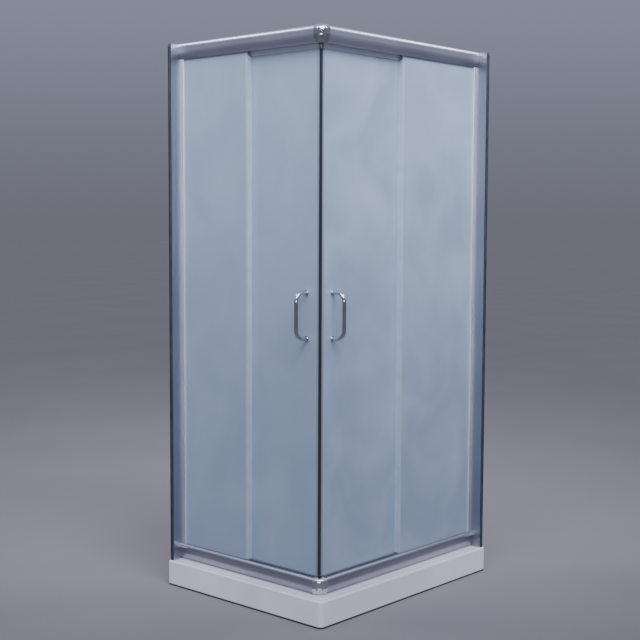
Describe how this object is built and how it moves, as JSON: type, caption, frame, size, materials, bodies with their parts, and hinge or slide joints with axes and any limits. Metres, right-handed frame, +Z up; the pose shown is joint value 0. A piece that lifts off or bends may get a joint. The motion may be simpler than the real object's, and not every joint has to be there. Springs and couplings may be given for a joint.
{
  "type": "corner shower enclosure",
  "caption": "Corner shower enclosure: a low tray, framed walls of obscured glass that meet at one corner, and in each wall a glass door with a bow handle that rolls along the top rail.",
  "frame": {"origin": "on the floor under the middle of the tray", "axes": "+Z up; the front wall of glass faces -Y and the right wall +X; the room's walls stand along -X and +Y"},
  "size_m": [0.8, 1, 2.103],
  "materials": {
    "tray_acrylic": "glossy white",
    "zinc_steel": "zinc plated",
    "black_plastic": "matt",
    "chrome_plastic": "chromed",
    "rubber": "matt",
    "zinc_casting": "die-cast zinc",
    "chrome": "polished",
    "satin_aluminium": "satin",
    "bright_aluminium": "bright anodised",
    "dark_seal": "satin",
    "clear_seal": "translucent",
    "stainless_steel": "satin",
    "obscured_glass": "frosted",
    "white_nylon": "satin"
  },
  "bodies": {
    "enclosure": {"shower_tray": "tray_acrylic", "tray_leg_bolts": "zinc_steel", "tray_leg_pads": "black_plastic", "waste_body": "chrome_plastic", "waste_seal": "rubber", "top_corner_joint": "zinc_casting", "top_corner_cap": "chrome", "bottom_corner_joint": "zinc_casting", "bottom_corner_cap": "chrome", "front_wall_channel": "satin_aluminium", "front_wall_seal": "dark_seal", "front_wall_post": "satin_aluminium", "front_channel_screws": "stainless_steel", "front_rail_screws": "stainless_steel", "front_glazing_bead": "bright_aluminium", "front_fixed_glass": "obscured_glass", "front_fixed_edge_seal": "clear_seal", "front_top_rail": "bright_aluminium", "front_bottom_rail": "bright_aluminium", "front_door_stops": "black_plastic", "right_wall_channel": "satin_aluminium", "right_wall_seal": "dark_seal", "right_wall_post": "satin_aluminium", "right_channel_screws": "stainless_steel", "right_rail_screws": "stainless_steel", "right_glazing_bead": "bright_aluminium", "right_fixed_glass": "obscured_glass", "right_fixed_edge_seal": "clear_seal", "right_top_rail": "bright_aluminium", "right_bottom_rail": "bright_aluminium", "right_door_stops": "black_plastic"},
    "front_door": {"front_door_glass": "obscured_glass", "front_door_top_profile": "satin_aluminium", "front_magnet_seal": "dark_seal", "front_rear_seal": "clear_seal", "front_lead_hanger": "zinc_casting", "front_rear_hanger": "zinc_casting", "front_hanger_screws": "stainless_steel", "front_guide_shoes": "white_nylon", "front_handle": "chrome", "front_handle_caps": "chrome"},
    "front_lead_wheelset": {"front_lead_axle": "stainless_steel", "front_lead_wheels": "white_nylon"},
    "front_rear_wheelset": {"front_rear_axle": "stainless_steel", "front_rear_wheels": "white_nylon"},
    "right_door": {"right_door_glass": "obscured_glass", "right_door_top_profile": "satin_aluminium", "right_magnet_seal": "dark_seal", "right_rear_seal": "clear_seal", "right_lead_hanger": "zinc_casting", "right_rear_hanger": "zinc_casting", "right_hanger_screws": "stainless_steel", "right_guide_shoes": "white_nylon", "right_handle": "chrome", "right_handle_caps": "chrome"},
    "right_lead_wheelset": {"right_lead_axle": "stainless_steel", "right_lead_wheels": "white_nylon"},
    "right_rear_wheelset": {"right_rear_axle": "stainless_steel", "right_rear_wheels": "white_nylon"},
    "waste_cover": {"waste_cover": "chrome_plastic"}
  },
  "joints": [
    {"name": "front_door_slide", "type": "slide", "parent": "enclosure", "child": "front_door", "axis": [-1, 0, 0], "range_m": [0, 0.25]},
    {"name": "front_lead_wheel_spin", "type": "hinge", "parent": "front_door", "child": "front_lead_wheelset", "pos_m": [0.247, -0.411, 2.061], "axis": [0, -1, 0], "range_deg": [0, 1200]},
    {"name": "front_rear_wheel_spin", "type": "hinge", "parent": "front_door", "child": "front_rear_wheelset", "pos_m": [-0.032, -0.411, 2.061], "axis": [0, -1, 0], "range_deg": [0, 1200]},
    {"name": "right_door_slide", "type": "slide", "parent": "enclosure", "child": "right_door", "axis": [0, 1, 0], "range_m": [0, 0.335]},
    {"name": "right_lead_wheel_spin", "type": "hinge", "parent": "right_door", "child": "right_lead_wheelset", "pos_m": [0.311, -0.347, 2.061], "axis": [-1, 0, 0], "range_deg": [0, 1605]},
    {"name": "right_rear_wheel_spin", "type": "hinge", "parent": "right_door", "child": "right_rear_wheelset", "pos_m": [0.311, 0.036, 2.061], "axis": [-1, 0, 0], "range_deg": [0, 1605]},
    {"name": "waste_cover_lift", "type": "slide", "parent": "enclosure", "child": "waste_cover", "axis": [0, 0, 1], "range_m": [0, 0.03]}
  ],
  "couplings": [
    {"joint": "front_lead_wheel_spin", "follows": "front_door_slide", "rad_per_m": 83.333},
    {"joint": "front_rear_wheel_spin", "follows": "front_door_slide", "rad_per_m": 83.333},
    {"joint": "right_lead_wheel_spin", "follows": "right_door_slide", "rad_per_m": 83.333},
    {"joint": "right_rear_wheel_spin", "follows": "right_door_slide", "rad_per_m": 83.333}
  ]
}
